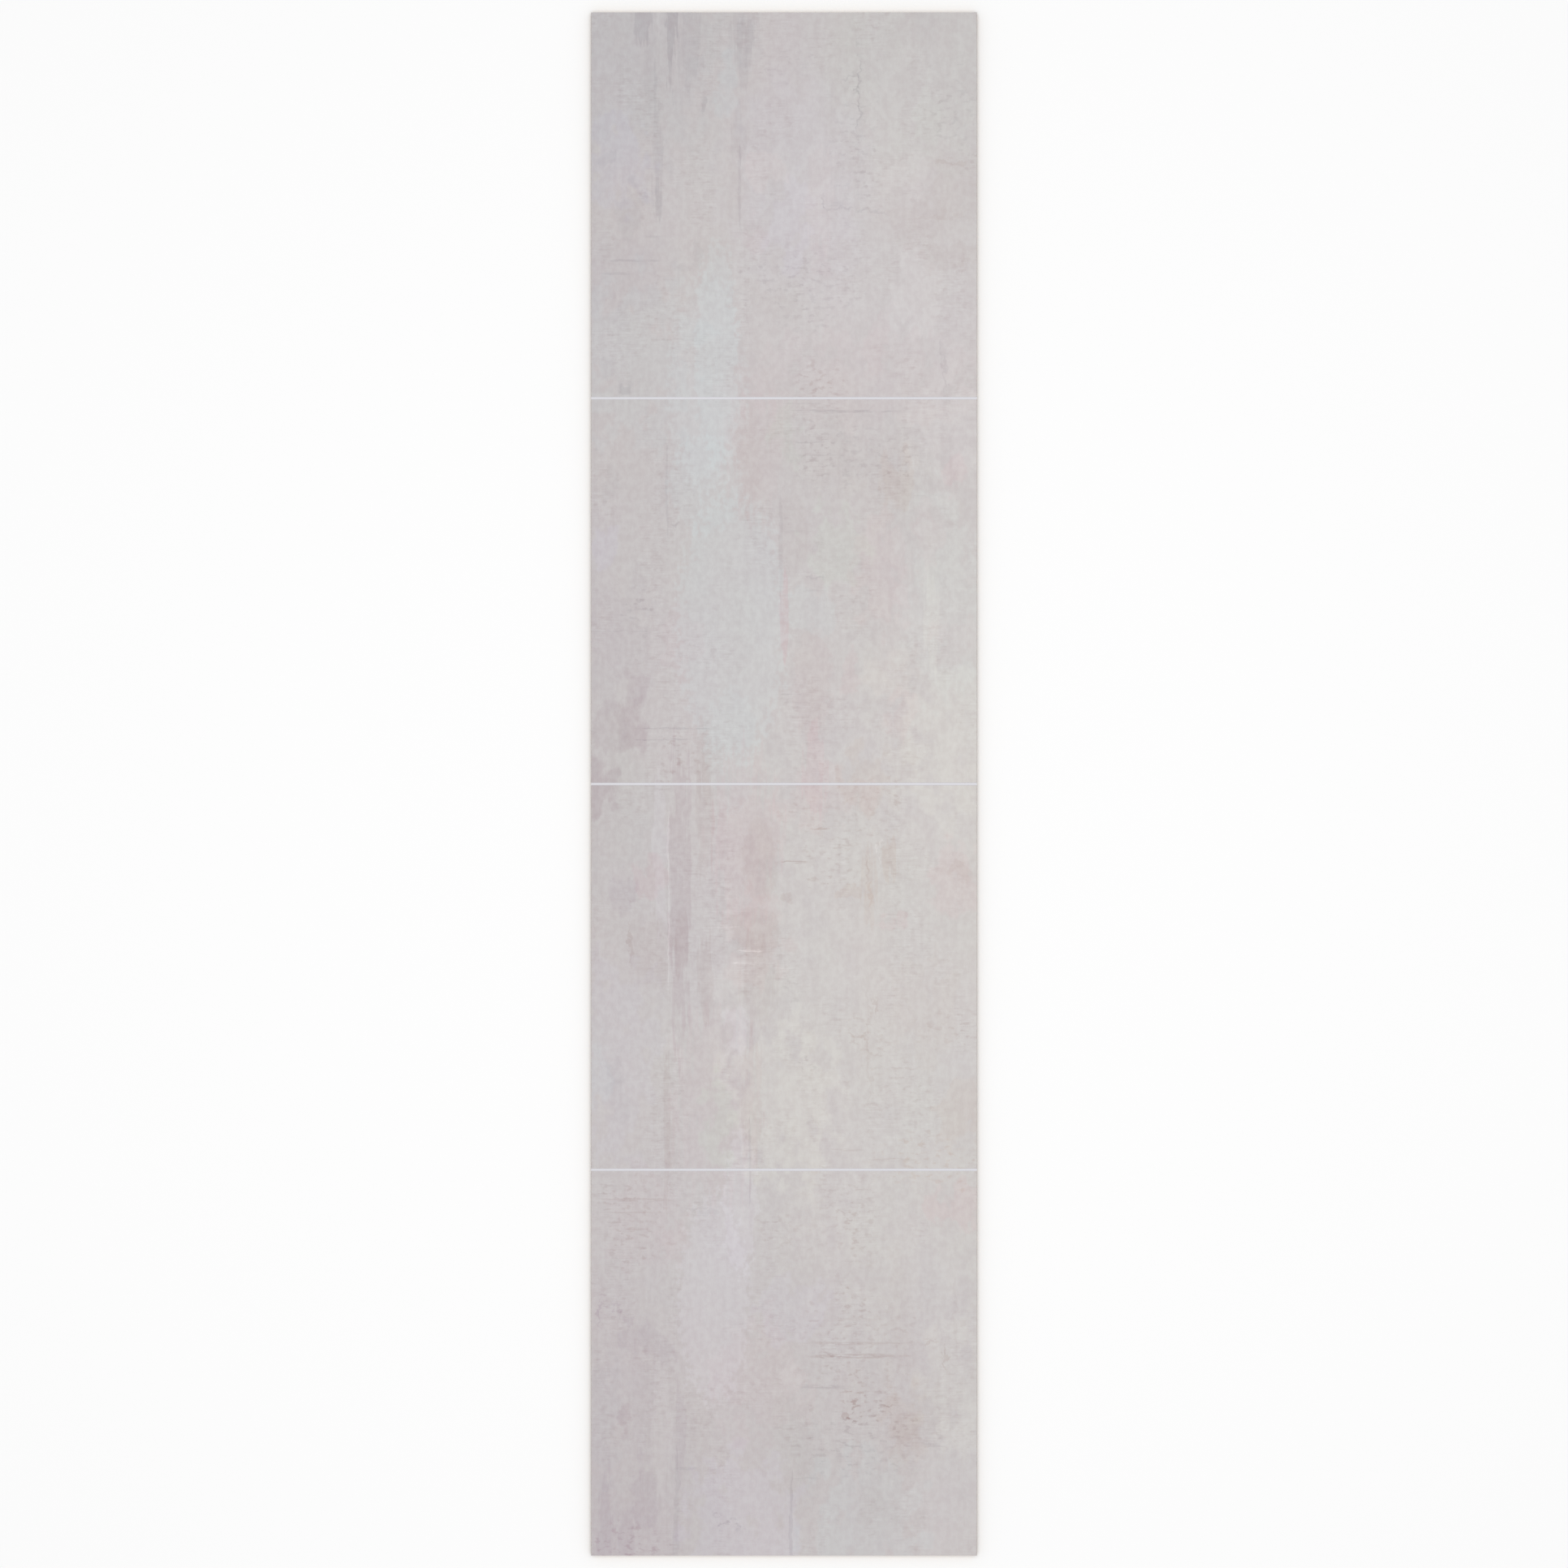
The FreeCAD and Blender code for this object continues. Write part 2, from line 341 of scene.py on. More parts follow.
THIRD_TILE = lay_out(
    (SMOKE, 3, -150, 130, -60, 420, WASH),
    (STRAW, 3.5, 255, 820, -90, 760, WASH),
    (LILAC, 2, -20, 100, 270, 570),
    (PLUM, 6, 32, 62, 140, 212),
    (ROSE, 5, 66, 120, 119, 171),
    (UMBER, 5, 54, 122, 200, 308),
    (UMBER, 10, 58, 64, 222, 282, VEIN),
    (CHALK, 3, 96, 118, -10, 230, STREAK),
    (LILAC, 1.5, 96, 118, -10, 230, STREAK),
    (MAROON, 8, 121, 156, -60, 400, STREAK),
    (MAROON, 2.5, 121, 154, 178, 276, STREAK),
    (UMBER, 6, 129, 153, 208, 308, STREAK),
    (CHALK, 10, 119, 122, 34, 312, STREAK),
    (UMBER, 5, 162, 190, -40, 140, STREAK),
    (UMBER, 7, 165, 191, 232, 360, STREAK),
    (CHALK, 5, 138, 170, 158, 161, SCRATCH),
    (ROSE, 3.5, 190, 294, -40, 210, STREAK),
    (UMBER, 7, 234, 290, 56, 182, PATCH),
    (UMBER, 7.5, 216, 296, 190, 268, PATCH),
    (ROSE, 3, 208, 298, 174, 308),
    (UMBER, 5, 234, 286, 248, 378, STREAK),
    (CHALK, 20, 230, 270, 258, 262, SCRATCH),
    (CHALK, 14, 222, 278, 277, 280, SCRATCH),
    (CHALK, 6, 188, 252, 196, 199, SCRATCH),
    (CHALK, 7, 178, 242, 222, 225, SCRATCH),
    (CHALK, 3, 186, 234, 244, 336),
    (SMOKE, 3, 20, 60, 466, 519),
    (SMOKE, 4, 22, 52, 416, 466),
    (MIST, 2.5, -4, 30, 402, 508),
    (UMBER, 6, 112, 123, 396, 650, STREAK),
    (UMBER, 4, 115, 133, 534, 602, STREAK),
    (ROSE, 2, 130, 262, 352, 640, STREAK),
    (MOSS, 3, 172, 224, 462, 598),
    (CHALK, 5, 204, 242, 347, 417),
    (LILAC, 2, 204, 242, 347, 417),
    (CHALK, 4, 116, 144, 365, 435),
    (UMBER, 5, 235, 267, 400, 598, STREAK),
    (STRAW, 4, 215, 375, 372, 608),
    (RUST, 8, 452, 478, 90, 154, STREAK),
    (RUST, 6, 420, 444, 110, 210, STREAK),
    (UMBER, 20, 293, 337, 120, 124, SCRATCH),
    (UMBER, 22, 343, 370, 67, 71, SCRATCH),
    (UMBER, 12, 390, 412, 93, 97, SCRATCH),
    (UMBER, 12, 334, 378, 140, 164, SPECKLE),
    (RUST, 7, 377, 424, 154, 176, STREAK),
    (UMBER, 12, 424, 430, 116, 150, VEIN),
    (RUST, 10, 430, 436, 150, 190, VEIN),
    (CHALK, 8, 445, 450, 84, 122, VEIN),
    (UMBER, 11, 295, 316, 168, 184, VEIN),
    (ROSE, 3, 290, 430, -24, 66),
    (UMBER, 7, 300, 490, -20, 130, SPECKLE),
    (ROSE, 4.5, 530, 606, 98, 206),
    (UMBER, 7, 552, 606, 125, 151),
    (ROSE, 5, 453, 487, 196, 236),
    (RUST, 2.5, 474, 566, 272, 428),
    (UMBER, 6, 430, 435, 290, 506, VEIN),
    (UMBER, 12, 441, 446, 330, 360, VEIN),
    (UMBER, 10, 398, 436, 388, 393, VEIN),
    (UMBER, 10, 434, 438, 390, 424, VEIN),
    (UMBER, 8, 386, 456, 358, 424, SPECKLE),
    (UMBER, 4, 394, 526, 395, 525, SPECKLE),
    (RUST, 6, 544, 612, 460, 566),
    (UMBER, 8, 490, 610, 352, 408, SPECKLE),
    (UMBER, 8, 373, 423, 567, 571, SCRATCH),
    (UMBER, 8, 432, 504, 582, 587, SCRATCH),
    (RUST, 11, 456, 614, 552, 630, SPECKLE),
    (SMOKE, 6, 280, 330, 302, 349, SPECKLE),
    (SMOKE, 9, 245, 249, 504, 640, STREAK),
    (SMOKE, 9, 300, 360, 421, 437, SPECKLE),
)

FOURTH_TILE = lay_out(
    (SMOKE, 2, -150, 130, -120, 330, WASH),
    (PLUM, 6, -170, 195, 190, 860, WASH),
    (UMBER, 1.5, 130, 590, 190, 860, WASH),
    (PLUM, 4, -150, 110, 450, 800, WASH),
    (ROSE, 1.5, 22, 138, 8, 156),
    (UMBER, 10, 26, 128, 44, 49, SCRATCH),
    (UMBER, 8, 26, 104, 65, 68, SCRATCH),
    (UMBER, 9, 50, 84, 90, 96, SCRATCH),
    (UMBER, 7, 12, 138, 2, 148, SPECKLE),
    (ROSE, 2, 112, 156, 72, 146),
    (SMOKE, 6, 146, 178, 58, 62, VEIN),
    (SMOKE, 5, 164, 198, 64, 72, VEIN),
    (CHALK, 4, 206, 258, -60, 160, PATCH),
    (LILAC, 2, 206, 258, -60, 160, PATCH),
    (CHALK, 3, 136, 246, 42, 360, PATCH),
    (LILAC, 2, 136, 246, 42, 360, PATCH),
    (CHALK, 1.5, 160, 216, 290, 370, PATCH),
    (PLUM, 7, 48, 74, 230, 248),
    (PLUM, 8, 8, 40, 202, 226, SPECKLE),
    (PLUM, 12, 13, 17, 206, 240, VEIN),
    (PLUM, 9, 26, 46, 208, 212, VEIN),
    (PLUM, 10, 38, 42, 211, 233, VEIN),
    (UMBER, 6, 380, 420, 44, 122, SPECKLE),
    (UMBER, 4, 240, 330, 62, 138, SPECKLE),
    (UMBER, 4, 280, 480, 10, 180, SPECKLE),
    (ROSE, 5, 522, 612, 18, 90),
    (UMBER, 5, 275, 315, 164, 167, SCRATCH),
    (UMBER, 9, 340, 488, 267, 273, SCRATCH),
    (UMBER, 14, 344, 486, 286, 293, SCRATCH),
    (UMBER, 11, 337, 356, 232, 236, SCRATCH),
    (UMBER, 5, 366, 452, 230, 236, SCRATCH),
    (SMOKE, 4, 338, 370, 245, 248, SCRATCH),
    (SMOKE, 10, 320, 402, 334, 341, SCRATCH),
    (UMBER, 7, 316, 514, 190, 370, SPECKLE),
    (UMBER, 7, 370, 450, 325, 400, SPECKLE),
    (UMBER, 2.5, 375, 455, 305, 380),
    (UMBER, 10, 396, 432, 340, 386, SPECKLE),
    (UMBER, 16, 391, 404, 372, 388, PATCH),
    (RUST, 5, 458, 523, 344, 462),
    (UMBER, 5, 474, 510, 366, 446),
    (UMBER, 2.5, 466, 502, 160, 340),
    (ROSE, 2, 200, 336, 236, 410),
    (SMOKE, 2, 244, 356, 362, 548, STREAK),
    (LILAC, 3, 254, 372, 168, 270),
    (CHALK, 3.5, 296, 328, 290, 356),
    (SMOKE, 9, 309, 314, 474, 650, STREAK),
    (SMOKE, 2, 310, 360, 386, 548),
    (SMOKE, 5, 310, 356, 478, 483, SCRATCH),
    (PLUM, 3, 60, 100, 255, 468, STREAK),
    (PLUM, 6, 64, 100, 450, 548),
    (MAROON, 9, 40, 62, 363, 421),
    (PLUM, 5.5, 11, 33, 465, 650, STREAK),
    (PLUM, 4, 44, 68, 515, 650),
    (PLUM, 4, 48, 140, 255, 299),
    (CHALK, 2.5, 97, 124, 300, 520, STREAK),
    (PLUM, 5, 130, 148, 338, 468, STREAK),
    (SMOKE, 6, 128, 137, 444, 650, STREAK),
    (SMOKE, 7, 132, 164, 461, 467, SCRATCH),
    (SLATE, 2.5, -14, 50, 290, 490),
    (CHALK, 2, 148, 314, 446, 650),
    (LILAC, 3, 148, 314, 446, 650),
    (UMBER, 1.5, 150, 186, 355, 462),
    (MIST, 3, 350, 508, 440, 650),
    (CHALK, 3, 490, 650, 395, 650),
    (UMBER, 1.5, 390, 506, 378, 568),
    (UMBER, 3, 408, 450, 496, 544),
    (SMOKE, 7, 330, 510, 370, 480, SPECKLE),
    (STRAW, 3.5, 510, 650, 230, 430),
    (UMBER, 5, 564, 568, 170, 268, VEIN),
    (UMBER, 9, 510, 546, 268, 273, VEIN),
    (UMBER, 12, 548, 555, 268, 318, VEIN),
    (SMOKE, 8, 514, 552, 425, 431, SCRATCH),
    (SMOKE, 16, 194, 238, 536, 560, SPECKLE),
    (MAROON, 12, -10, 110, 552, 630, SPECKLE),
)

TILES: tuple[tuple[Mark, ...], ...] = (FIRST_TILE, SECOND_TILE, THIRD_TILE, FOURTH_TILE)


@dataclass(frozen=True)
class Board:
    """The board's sizes, in millimetres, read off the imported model.

    Attributes:
        cover_width: width of the face between its long edges.
        length: length of the board.
        thickness: from its back to its face.
        tile_pitch: from one tile groove to the next.
        groove_half_width: half the width of a tile groove at the face.
        laminate: thickness of the face laminate and of the backing laminate.
        ply_count: number of plies between them.
    """

    cover_width: float
    length: float
    thickness: float
    tile_pitch: float
    groove_half_width: float = 2.0
    laminate: float = 0.6
    ply_count: int = 7

    @classmethod
    def from_frame(cls) -> "Board":
        """Reads the sizes off the node's box.

        Returns:
            The board, with square tiles that share out its length.
        """
        low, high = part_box(NODE_NAME)
        width = (high.x - low.x) * PER_MM
        length = (high.y - low.y) * PER_MM
        tiles = len(TILES)
        return cls(width, length, high.z * PER_MM, length / tiles)

    @property
    def half_width(self) -> float:
        """Half the cover width."""
        return self.cover_width / 2

    @property
    def half_length(self) -> float:
        """Half the length."""
        return self.length / 2

    def place(self, tile: int, across: float, down: float) -> tuple[float, float]:
        """x and y of a place on a tile, counted from 0 at the top end, in the board's frame."""
        return across - self.half_width, self.half_length - tile * self.tile_pitch - down


@dataclass(frozen=True)
class Noise:
    """One fractal noise.

    Attributes:
        size: feature size along each axis in millimetres; 0 leaves that axis out.
        detail: number of octaves.
        offset: shift that sets this noise apart from others.
        colour: whether three channels are wanted instead of one.
    """

    size: Number3
    detail: float
    offset: float = 0.0
    colour: bool = False


class MixKind(Enum):
    """Kinds of Mix node: data type, then the places of its factor, inputs and result."""

    COLOUR = ("RGBA", 0, 6, 7, 2)
    NUMBER = ("FLOAT", 0, 2, 3, 0)


class Wiring:
    """Adds nodes to one tree and joins them."""

    COLUMN_STEP = 220
    ROW_STEP = 180
    NODES_A_COLUMN = 8

    def __init__(self, tree: bpy.types.NodeTree) -> None:
        """Keeps the tree and counts its nodes, so that they lie apart."""
        self.tree = tree
        self.count = 0

    def node(self, kind: str, **settings: object) -> bpy.types.Node:
        """New node with its properties set.

        Args:
            kind: the node's type, without the leading ShaderNode unless it is a group's end.
            settings: values of its properties.

        Returns:
            The node.
        """
        made = self.tree.nodes.new(kind if kind.startswith("NodeGroup") else f"ShaderNode{kind}")
        for name, value in settings.items():
            setattr(made, name, value)
        column, row = divmod(self.count, self.NODES_A_COLUMN)
        made.location = (self.COLUMN_STEP * column, -self.ROW_STEP * row)
        self.count += 1
        return made

    def feed(self, socket: Socket, value: Feed) -> None:
        """Joins a socket to another, or sets its value.

        Args:
            socket: the input.
            value: the output to join it to, or a number or a tuple of numbers.
        """
        if isinstance(value, bpy.types.NodeSocket):
            self.tree.links.new(value, socket)
        elif isinstance(value, tuple) and socket.type == "RGBA":
            socket.default_value = (*value, 1.0)
        else:
            socket.default_value = value

    def math(self, operation: str, *values: Feed) -> Socket:
        """Math node.

        Args:
            operation: its operation.
            values: its inputs.

        Returns:
            The result.
        """
        made = self.node("Math", operation=operation)
        for socket, value in zip(made.inputs, values):
            self.feed(socket, value)
        return made.outputs[0]

    def vector(self, operation: str, *values: Feed) -> Socket:
        """Vector math node.

        Args:
            operation: its operation.
            values: its inputs.

        Returns:
            The vector, or the number where the operation makes one.
        """
        made = self.node("VectorMath", operation=operation)
        for socket, value in zip(made.inputs, values):
            self.feed(socket, value)
        return made.outputs["Value" if operation == "DOT_PRODUCT" else "Vector"]

    def scaled(self, direction: Feed, amount: Feed) -> Socket:
        """Vector times a number.

        Args:
            direction: the vector.
            amount: the number.

        Returns:
            The product.
        """
        made = self.node("VectorMath", operation="SCALE")
        self.feed(made.inputs["Vector"], direction)
        self.feed(made.inputs["Scale"], amount)
        return made.outputs["Vector"]

    def rise(self, value: Feed, start: Feed, end: Feed) -> Socket:
        """Smooth step from 0 at start to 1 at end; start may be the larger.

        Args:
            value: what is compared.
            start: where the step begins.
            end: where it is complete.

        Returns:
            The step, from 0 to 1.
        """
        # A smooth step stays between 0 and 1 by itself, so the node's own clamp is left off
        made = self.node("MapRange", interpolation_type="SMOOTHSTEP", clamp=False)
        for name, given in (("Value", value), ("From Min", start), ("From Max", end)):
            self.feed(made.inputs[name], given)
        return made.outputs["Result"]

    def noise(self, point: Socket, kind: Noise) -> Socket:
        """Fractal noise whose features have the given size.

        Args:
            point: places in millimetres.
            kind: its size, octaves and offset.

        Returns:
            The noise, about 0.5 in the middle.
        """
        rate = tuple(1.0 / size if size else 0.0 for size in kind.size)
        shift = tuple(kind.offset * share for share in OFFSET_SHARES)
        scaled = self.vector("MULTIPLY_ADD", point, rate, shift)
        made = self.node("TexNoise", noise_dimensions="3D" if kind.size[2] else "2D")
        self.feed(made.inputs["Vector"], scaled)
        made.inputs["Scale"].default_value = 1.0
        made.inputs["Detail"].default_value = kind.detail
        return made.outputs["Color" if kind.colour else "Fac"]

    def mix(
        self, factor: Feed, first: Feed, second: Feed, kind: MixKind = MixKind.COLOUR
    ) -> Socket:
        """Blend of two colours or two numbers.

        Args:
            factor: share of the second.
            first: what stands at 0.
            second: what stands at 1.
            kind: what is blended.

        Returns:
            The blend.
        """
        data_type, *places, result = kind.value
        made = self.node("Mix", data_type=data_type)
        for place, value in zip(places, (factor, first, second)):
            self.feed(made.inputs[place], value)
        return made.outputs[result]

    def group(self, tree: bpy.types.NodeTree, **values: Feed) -> bpy.types.Node:
        """Places a node group.

        Args:
            tree: the group's tree.
            values: its inputs by name.

        Returns:
            The group's node.
        """
        made = self.node("Group", node_tree=tree)
        for name, value in values.items():
            self.feed(made.inputs[name], value)
        return made


def new_group(
    name: str, inputs: dict[str, str], outputs: dict[str, str]
) -> tuple[bpy.types.NodeTree, Wiring, bpy.types.Node, bpy.types.Node]:
    """Empty shader node group with named sockets.

    Args:
        name: the group's name.
        inputs: socket names and kinds, Float, Vector or Color.
        outputs: the same for its outputs.

    Returns:
        The tree, its wiring, and the nodes of its inputs and outputs.
    """
    tree = bpy.data.node_groups.new(name, "ShaderNodeTree")
    for in_out, sockets in (("INPUT", inputs), ("OUTPUT", outputs)):
        for socket, kind in sockets.items():
            tree.interface.new_socket(socket, in_out=in_out, socket_type=f"NodeSocket{kind}")
    net = Wiring(tree)
    start = net.node("NodeGroupInput")
    end = net.node("NodeGroupOutput")
    return tree, net, start, end


def build_mark_cover() -> bpy.types.NodeTree:
    """Group that adds one mark to a running sum of strengths.

    The place is scaled and shifted so that the mark's centre is at 0 and its ends are at 1. The
    squared distance, plus the grain times its raggedness, steps from full strength to none about
    a value of 1.

    Returns:
        The group's tree.
    """
    floats = ("Grain", "Ragged", "Outer", "Inner", "Strength", "Sum")
    inputs = {name: "Vector" for name in ("Point", "Rate", "Shift")}
    inputs.update({name: "Float" for name in floats})
    tree, net, start, end = new_group("mark_cover", inputs, {"Sum": "Float"})
    given = start.outputs
    local = net.vector("MULTIPLY_ADD", given["Point"], given["Rate"], given["Shift"])
    distance = net.vector("DOT_PRODUCT", local, local)
    rim = net.math("MULTIPLY_ADD", given["Grain"], given["Ragged"], distance)
    cover = net.rise(rim, given["Outer"], given["Inner"])
    total = net.math("MULTIPLY_ADD", cover, given["Strength"], given["Sum"])
    net.feed(end.inputs["Sum"], total)
    return tree


@dataclass(frozen=True)
class WoodGrain:
    """Grain of the plies: fibres and darker pores, in units of a fibre's own size.

    Attributes:
        fibre: noise of the fibres.
        pore: noise of the pores.
        fibre_rim: levels between which the fibre noise turns dark.
        pore_rim: the same for the pore noise.
        pore_shade: how much a pore adds to the dark.
    """

    fibre: Noise = Noise((1.0, 1.0, 1.0), 4.0)
    pore: Noise = Noise((0.33, 0.33, 0.33), 2.0, 7.0)
    fibre_rim: Span = (0.35, 0.7)
    pore_rim: Span = (0.6, 0.75)
    pore_shade: float = 0.4

    def build(self) -> bpy.types.NodeTree:
        """Builds the group, whose rates are one over a fibre's size.

        Returns:
            The group's tree, which puts out a colour.
        """
        tree, net, start, end = new_group(
            "wood_grain",
            {"Point": "Vector", "Rate": "Vector", "Pale": "Color", "Dark": "Color"},
            {"Color": "Color"},
        )
        given = start.outputs
        scaled = net.vector("MULTIPLY", given["Point"], given["Rate"])
        fibre = net.noise(scaled, self.fibre)
        pore = net.noise(scaled, self.pore)
        fibres = net.rise(fibre, *self.fibre_rim)
        pores = net.math("MULTIPLY", net.rise(pore, *self.pore_rim), self.pore_shade)
        dark = net.math("MINIMUM", net.math("ADD", fibres, pores), 1.0)
        net.feed(end.inputs["Color"], net.mix(dark, given["Pale"], given["Dark"]))
        return tree


# The print's noises
NOISES: dict[str, Noise] = {
    "wander": Noise((48, 60, 0), 3.0, 3.0, colour=True),
    "ripple": Noise((10, 12, 0), 2.0, 11.0, colour=True),
    "mottle": Noise((9, 11, 0), 4.0, 21.0),
    "drag": Noise((6, 70, 0), 3.0, 31.0),
    "cloudy": Noise((30, 42, 0), 5.0, 81.0),
    "grain": Noise((1.6, 7, 0), 2.0, 41.0),
    "specks": Noise((13, 7, 0), 4.0, 91.0),
    "dashes": Noise((26, 2.6, 0), 2.0, 51.0),
    "cloud": Noise((110, 230, 0), 2.0, 61.0, colour=True),
    "zones": Noise((75, 120, 0), 2.0, 71.0),
}

# How far the wander and the ripple move each kind of place, in mm
WARPS: dict[str, tuple[Number3, Number3]] = {
    "drifting": ((34.0, 46.0, 0.0), (14.0, 14.0, 0.0)),
    "drawn": ((7.0, 70.0, 0.0), (4.0, 18.0, 0.0)),
    "steady": ((3.0, 5.0, 0.0), (3.0, 1.4, 0.0)),
    "wandering": ((20.0, 20.0, 0.0), (22.0, 16.0, 0.0)),
}

# Where each mask starts and is full; mottle and flake count from the noise's middle
RIMS: dict[str, Span] = {
    "mottle": (-0.1, 0.1),
    "flake": (0.0, 0.04),
    "specks": (0.53, 0.7),
    "dashes": (0.36, 0.5),
    "dark dash": (0.58, 0.7),
    "pale dash": (0.4, 0.3),
    "busy": (0.42, 0.66),
}


@dataclass(frozen=True)
class Layer:
    """One layer of the all-over texture.

    Attributes:
        levels: its strength, in display levels at a full swing of its noise or mask.
        tint: the share of that in red, green and blue.
    """

    levels: float
    tint: Number3 = (-0.8, -1.0, -1.0)

    def change(self) -> Number3:
        """Change of base colour at full swing."""
        return tuple(self.levels * level_step() * share for share in self.tint)


@dataclass(frozen=True)
class PrintTexture:
    """All-over texture of the print.

    Attributes:
        cloud: slow change of hue.
        mottle: patches of a few millimetres, with crisp rims.
        flake: ragged patches of a few centimetres, with crisp rims.
        grain: the finest speckle.
        drag: faint lines drawn along the board.
        dash: short lines across the board.
        speck: small dark specks.
    """

    cloud: Layer = Layer(2.5, (1.0, 1.0, 1.0))
    mottle: Layer = Layer(2.0, (-0.7, -1.2, -1.0))
    flake: Layer = Layer(1.8, (-0.7, -1.0, -0.9))
    grain: Layer = Layer(4.6, (-1.0, -1.0, -1.0))
    drag: Layer = Layer(5.0, (-0.9, -1.0, -1.0))
    dash: Layer = Layer(4.0)
    speck: Layer = Layer(6.0)


@dataclass
class DecorPrint:
    """The printed face: an aged plaster look of stains, drawn streaks, scratches and specks, with a
    strip of painted shade along its left edge.

    Attributes:
        board: the board's sizes.
        texture: the all-over texture.
        roughness: roughness where the mottle is in its middle.
        roughness_swing: how far the mottle moves it.
        speck_depth: depth of a speck, next to the grain's.
    """

    board: Board
    texture: PrintTexture = field(default_factory=PrintTexture)
    roughness: float = 0.46
    roughness_swing: float = 0.25
    speck_depth: float = 0.6

    def fields(self, net: Wiring, point: Socket) -> dict[str, Socket]:
        """Noise fields that all the marks share.

        Args:
            net: the wiring.
            point: flat places on the face in millimetres.

        Returns:
            The warped places, the signed grains and the masks by name.
        """
        wander = net.noise(point, NOISES["wander"])
        ripple = net.noise(point, NOISES["ripple"])
        wander = net.vector("SUBTRACT", wander, (NOISE_MIDDLE,) * 3)
        ripple = net.vector("SUBTRACT", ripple, (NOISE_MIDDLE,) * 3)
        found: dict[str, Socket] = {}
        for name, (far, near) in WARPS.items():
            moved = net.vector("MULTIPLY_ADD", wander, far, point)
            found[name] = net.vector("MULTIPLY_ADD", ripple, near, moved)
        for name in ("mottle", "drag", "cloudy", "grain"):
            found[name] = net.math("SUBTRACT", net.noise(point, NOISES[name]), NOISE_MIDDLE)
        found["specks"] = net.rise(net.noise(point, NOISES["specks"]), *RIMS["specks"])
        found["dash_noise"] = net.noise(point, NOISES["dashes"])
        found["dashes"] = net.rise(found["dash_noise"], *RIMS["dashes"])
        return found

    def all_over(self, net: Wiring, point: Socket, fields: dict[str, Socket]) -> Socket:
        """Sum of the all-over texture, as a change of base colour.

        Args:
            net: the wiring.
            point: flat places on the face in millimetres.
            fields: the shared fields.

        Returns:
            The change, as a vector of red, green and blue.
        """
        texture = self.texture
        cloud = net.noise(point, NOISES["cloud"])
        cloud = net.vector("SUBTRACT", cloud, (NOISE_MIDDLE,) * 3)
        total = net.vector("MULTIPLY", cloud, texture.cloud.change())
        busy = net.rise(net.noise(point, NOISES["zones"]), *RIMS["busy"])
        dark_dash = net.rise(fields["dash_noise"], *RIMS["dark dash"])
        pale_dash = net.rise(fields["dash_noise"], *RIMS["pale dash"])
        dash = net.math("SUBTRACT", dark_dash, pale_dash)
        layers = (
            (net.rise(fields["mottle"], *RIMS["mottle"]), texture.mottle),
            (net.rise(fields["cloudy"], *RIMS["flake"]), texture.flake),
            (fields["grain"], texture.grain),
            (fields["drag"], texture.drag),
            (net.math("MULTIPLY", dash, busy), texture.dash),
            (net.math("MULTIPLY", fields["specks"], busy), texture.speck),
        )
        for cover, layer in layers:
            total = net.vector("ADD", total, net.scaled(layer.change(), cover))
        return total

    def lay_mark(
        self,
        net: Wiring,
        cover_group: bpy.types.NodeTree,
        fields: dict[str, Socket],
        tile: int,
        mark: Mark,
        total: Feed,
    ) -> Socket:
        """Adds one mark to the running sum of its tone.

        Args:
            net: the wiring.
            cover_group: the group that covers a mark.
            fields: the shared fields.
            tile: number of the mark's tile.
            mark: the mark.
            total: the sum so far.

        Returns:
            The sum with the mark in it.
        """
        brush = BRUSHES[mark.habit]
        start = self.board.place(tile, mark.left, mark.top)
        end = self.board.place(tile, mark.right, mark.bottom)
        rate = (2 / (end[0] - start[0]), 2 / (start[1] - end[1]), 0.0)
        centre = ((start[0] + end[0]) / 2, (start[1] + end[1]) / 2)
        strength: Feed = mark.strength * level_step()
        if brush.broken:
            strength = net.math("MULTIPLY", fields[brush.broken], strength)
        return net.group(
            cover_group,
            Point=fields[brush.point],
            Rate=rate,
            Shift=(-centre[0] * rate[0], -centre[1] * rate[1], 0.0),
            Grain=fields[brush.grain],
            Ragged=brush.ragged,
            Outer=1 + brush.soft / 2,
            Inner=1 - brush.soft / 2,
            Strength=strength,
            Sum=total,
        ).outputs["Sum"]

    def lay_marks(self, net: Wiring, fields: dict[str, Socket], total: Socket) -> Socket:
        """Adds all the marks, tone by tone: each tone's strengths are summed, then tinted once.

        Args:
            net: the wiring.
            fields: the shared fields.
            total: the colour so far.

        Returns:
            The colour with the marks in it.
        """
        cover_group = build_mark_cover()
        for tone in Tone:
            summed: Feed = 0.0
            for tile, marks in enumerate(TILES):
                for mark in marks:
                    if mark.tone is tone:
                        summed = self.lay_mark(net, cover_group, fields, tile, mark, summed)
            total = net.vector("ADD", total, net.scaled(tone.value, summed))
        return total

    def build(self) -> bpy.types.NodeTree:
        """Builds the print's group.

        Returns:
            The tree, which puts out Color, Roughness and Height.
        """
        tree, net, start, end = new_group(
            "decor_print",
            {"Point": "Vector"},
            {"Color": "Color", "Roughness": "Float", "Height": "Float"},
        )
        point = net.vector("MULTIPLY", start.outputs["Point"], (1.0, 1.0, 0.0))
        fields = self.fields(net, point)
        total = self.lay_marks(net, fields, self.all_over(net, point, fields))
        colour = net.vector("ADD", total, paint(BASE_LEVELS))
        net.feed(end.inputs["Color"], colour)
        roughness = net.math("MULTIPLY_ADD", fields["mottle"], self.roughness_swing, self.roughness)
        net.feed(end.inputs["Roughness"], roughness)
        height = net.math("MULTIPLY_ADD", fields["specks"], -self.speck_depth, fields["grain"])
        net.feed(end.inputs["Height"], height)
        return tree


